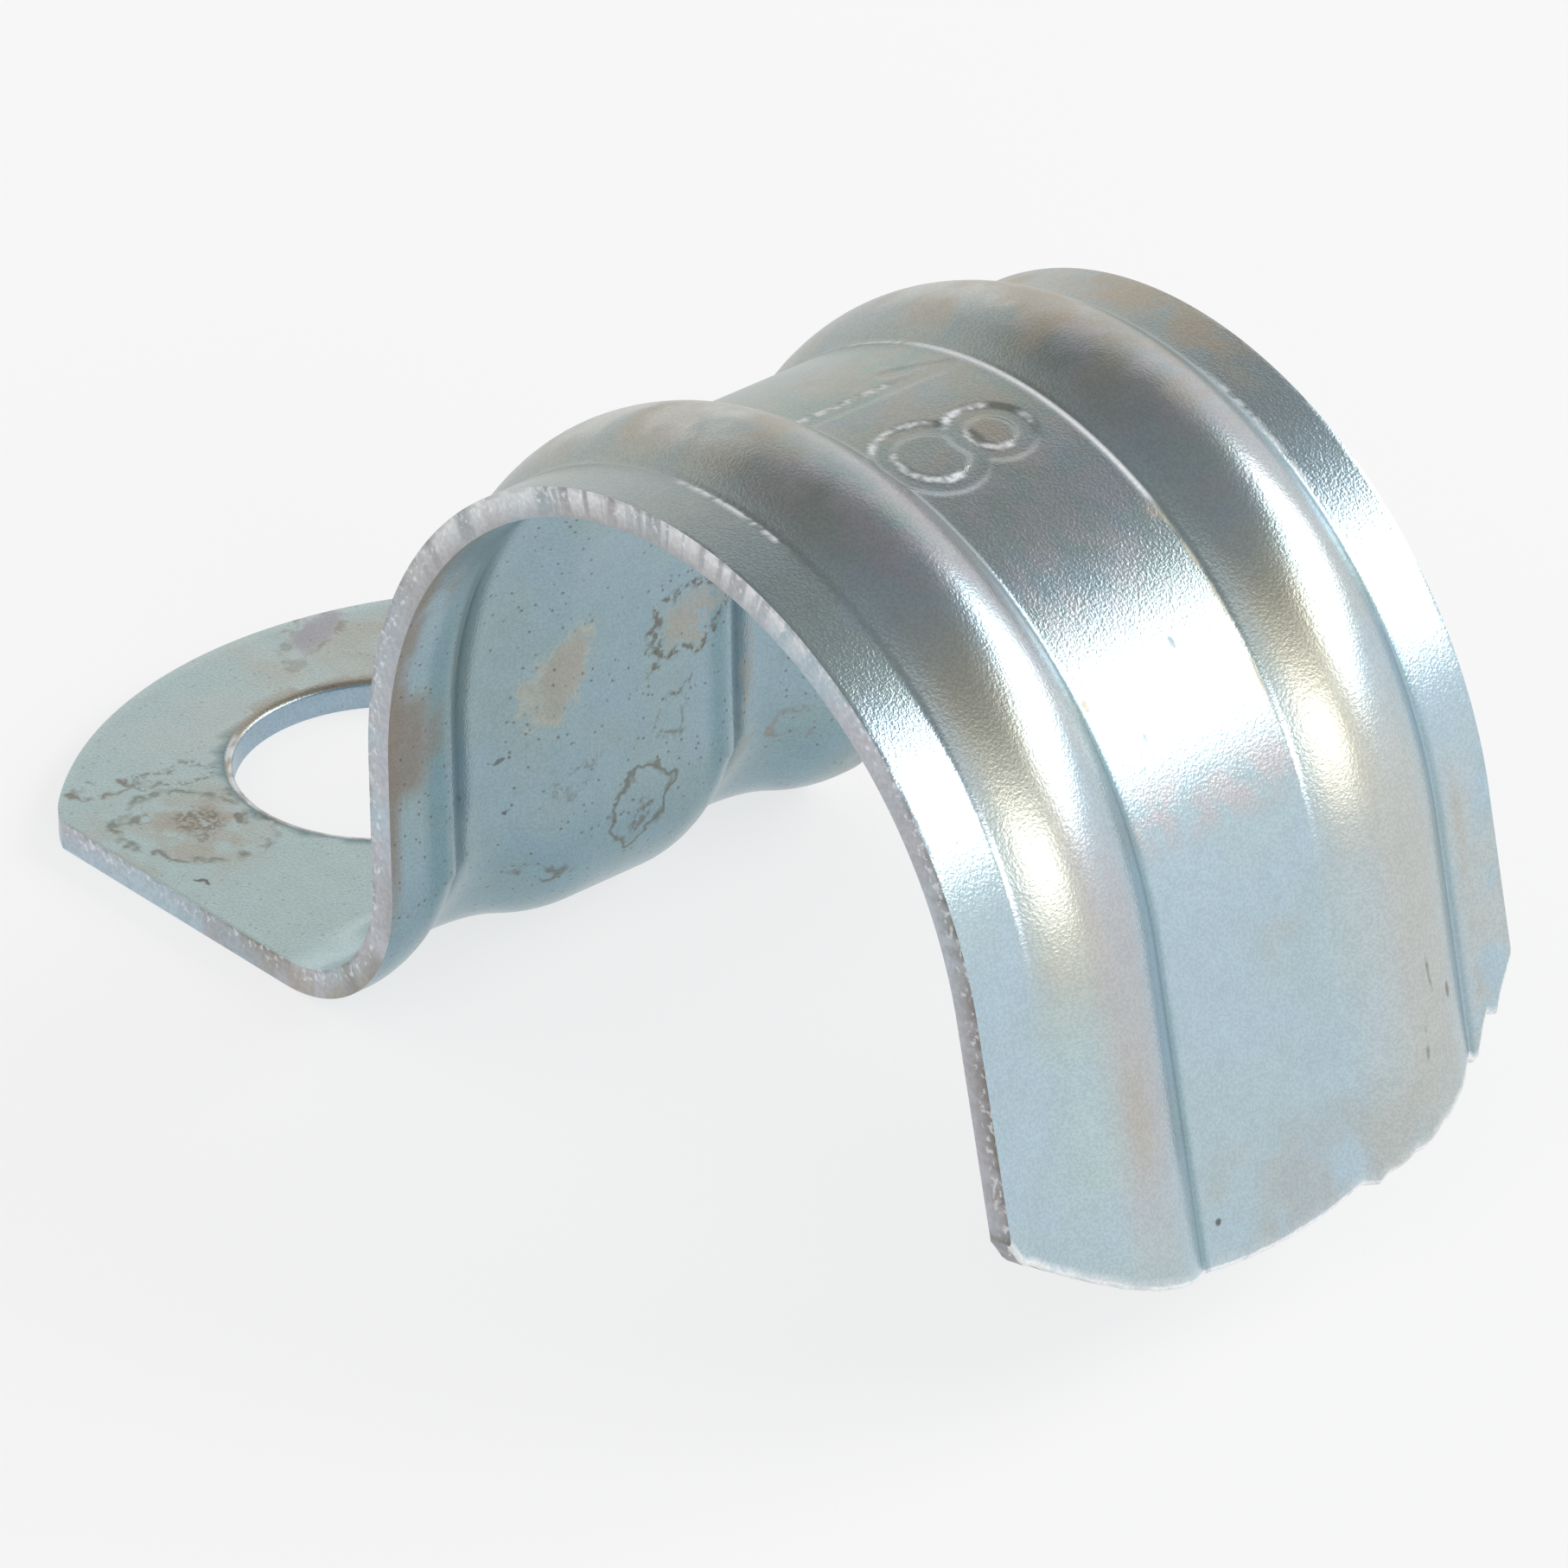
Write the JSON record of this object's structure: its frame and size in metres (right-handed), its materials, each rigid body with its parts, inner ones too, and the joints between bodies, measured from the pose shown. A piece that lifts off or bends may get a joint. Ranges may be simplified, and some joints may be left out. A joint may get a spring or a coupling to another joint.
{
  "type": "one-hole conduit strap",
  "caption": "Folded and beaded zinc-plated steel strap with a flat screw lug, an arch over the conduit and an open free leg.",
  "frame": {"origin": "middle of the screw hole, on the wall side of the lug", "axes": "+Z off the wall along the screw hole, +X from the hole to the conduit, +Y along the conduit"},
  "size_m": [0.0355, 0.014, 0.0172],
  "materials": {
    "zinc_plated_steel": "zinc plate with pale blue passivation, satin with a fine grain, a few brown handling stains"
  },
  "bodies": {
    "root": {"strap": "zinc_plated_steel"}
  },
  "joints": []
}
